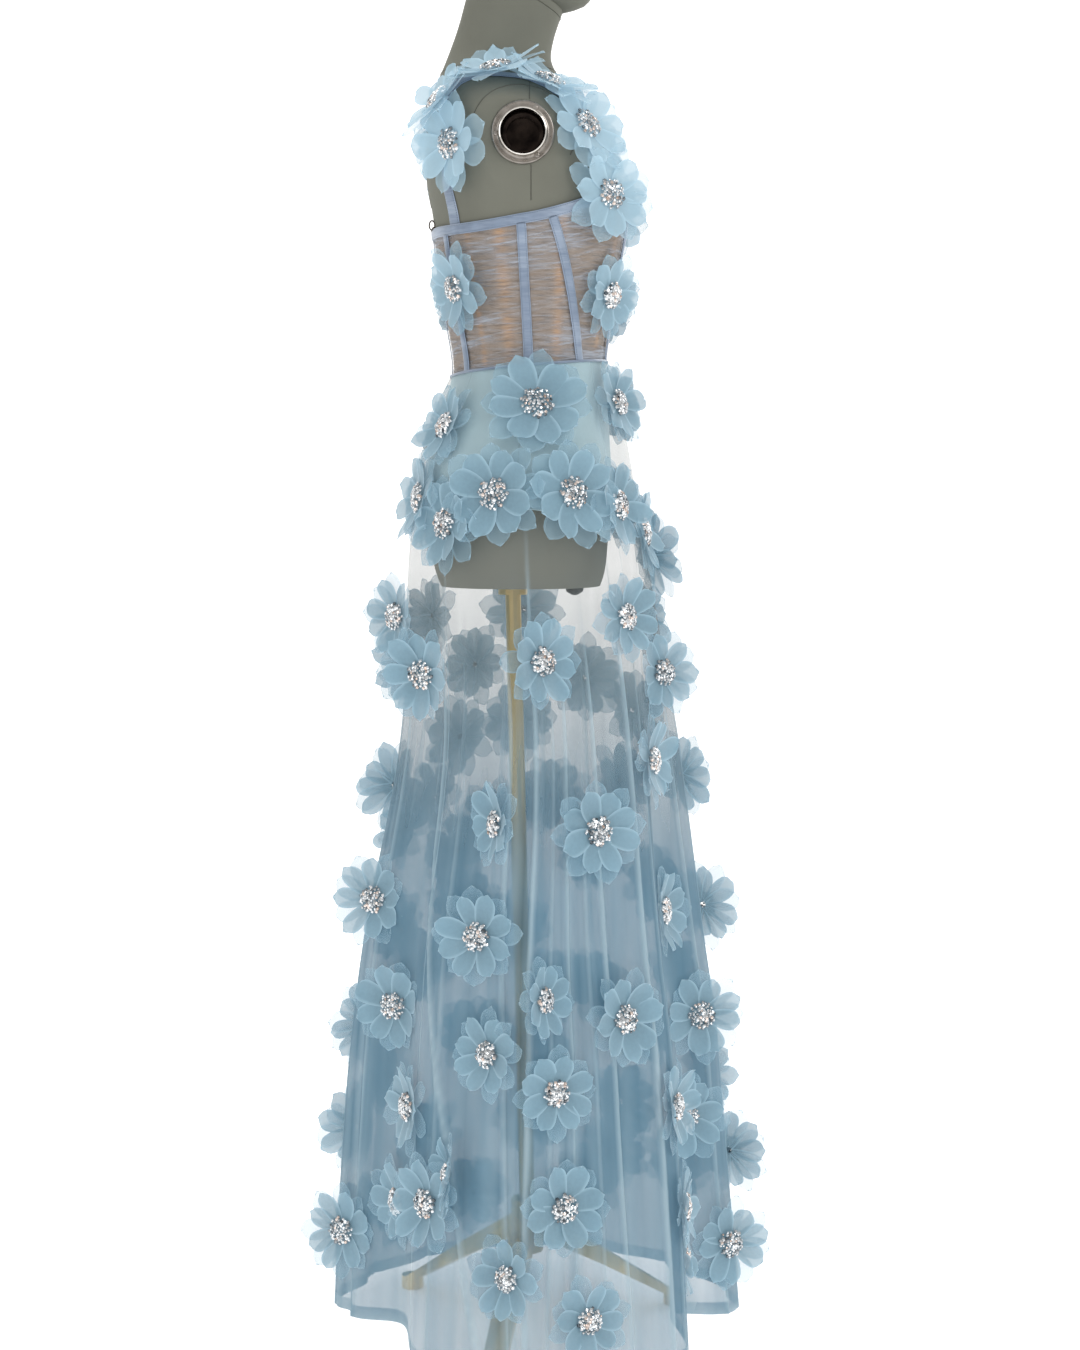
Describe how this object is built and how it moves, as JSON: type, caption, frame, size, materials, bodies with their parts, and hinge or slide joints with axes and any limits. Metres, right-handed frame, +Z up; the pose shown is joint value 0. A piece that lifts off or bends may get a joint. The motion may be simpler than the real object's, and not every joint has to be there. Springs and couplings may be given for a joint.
{
  "type": "tulle gown on dress form",
  "caption": "Sleeveless full-length tulle gown with applied flowers, on its limbless dress form with neck, head and tripod stand.",
  "frame": {"origin": "bottom centre of the bounding box, on the floor under the stand", "axes": "+Z up along the body; the gown faces -Y, and the wearer's right side is at -X"},
  "size_m": [0.581, 0.5838, 1.9405],
  "materials": {
    "form_linen": "matt linen cover",
    "socket_chrome": "polished",
    "stand_brass": "aged satin",
    "skirt_tulle": "sheer net",
    "brief_satin": "matt lining cloth",
    "ruched_tulle": "gathered sheer net",
    "satin_ribbon": "satin",
    "petal_organza": "crisp sheer organza with crystals"
  },
  "bodies": {
    "root": {"form_torso": "form_linen", "form_head": "form_linen", "form_socket_right": "socket_chrome", "form_socket_left": "socket_chrome", "stand_pole": "stand_brass", "stand_base": "stand_brass", "brief_front": "brief_satin", "brief_back": "brief_satin", "skirt_right": "skirt_tulle", "skirt_back": "skirt_tulle", "skirt_left": "skirt_tulle", "skirt_front": "skirt_tulle", "bodice_front": "ruched_tulle", "bodice_side_right": "ruched_tulle", "bodice_side_left": "ruched_tulle", "bodice_back_right": "ruched_tulle", "bodice_back_left": "ruched_tulle", "binding_top": "satin_ribbon", "zip_back": "satin_ribbon", "channel_front_right": "satin_ribbon", "channel_front_left": "satin_ribbon", "channel_princess_right": "satin_ribbon", "channel_princess_left": "satin_ribbon", "channel_side_right": "satin_ribbon", "channel_side_left": "satin_ribbon", "channel_back_right": "satin_ribbon", "channel_back_left": "satin_ribbon", "strap_right": "satin_ribbon", "strap_left": "satin_ribbon", "strap_flowers_right": "petal_organza", "strap_flowers_left": "petal_organza", "hip_flowers_right": "petal_organza", "hip_flowers_left": "petal_organza", "flower_side_back_right": "petal_organza", "flower_side_back_left": "petal_organza", "flower_side_front_right": "petal_organza", "flower_side_front_left": "petal_organza", "flower_hip_right": "petal_organza", "flower_hip_left": "petal_organza", "flower_waist_back_right": "petal_organza", "flower_waist_back_left": "petal_organza", "flower_waist_front_right": "petal_organza", "flower_waist_front_left": "petal_organza", "flower_skirt_01": "petal_organza", "flower_skirt_02": "petal_organza", "flower_skirt_03": "petal_organza", "flower_skirt_04": "petal_organza", "flower_skirt_05": "petal_organza", "flower_skirt_06": "petal_organza", "flower_skirt_07": "petal_organza", "flower_skirt_08": "petal_organza", "flower_skirt_09": "petal_organza", "flower_skirt_10": "petal_organza", "flower_skirt_11": "petal_organza", "flower_skirt_12": "petal_organza", "flower_skirt_13": "petal_organza", "flower_skirt_14": "petal_organza", "flower_skirt_15": "petal_organza", "flower_skirt_16": "petal_organza", "flower_skirt_17": "petal_organza"}
  },
  "joints": []
}
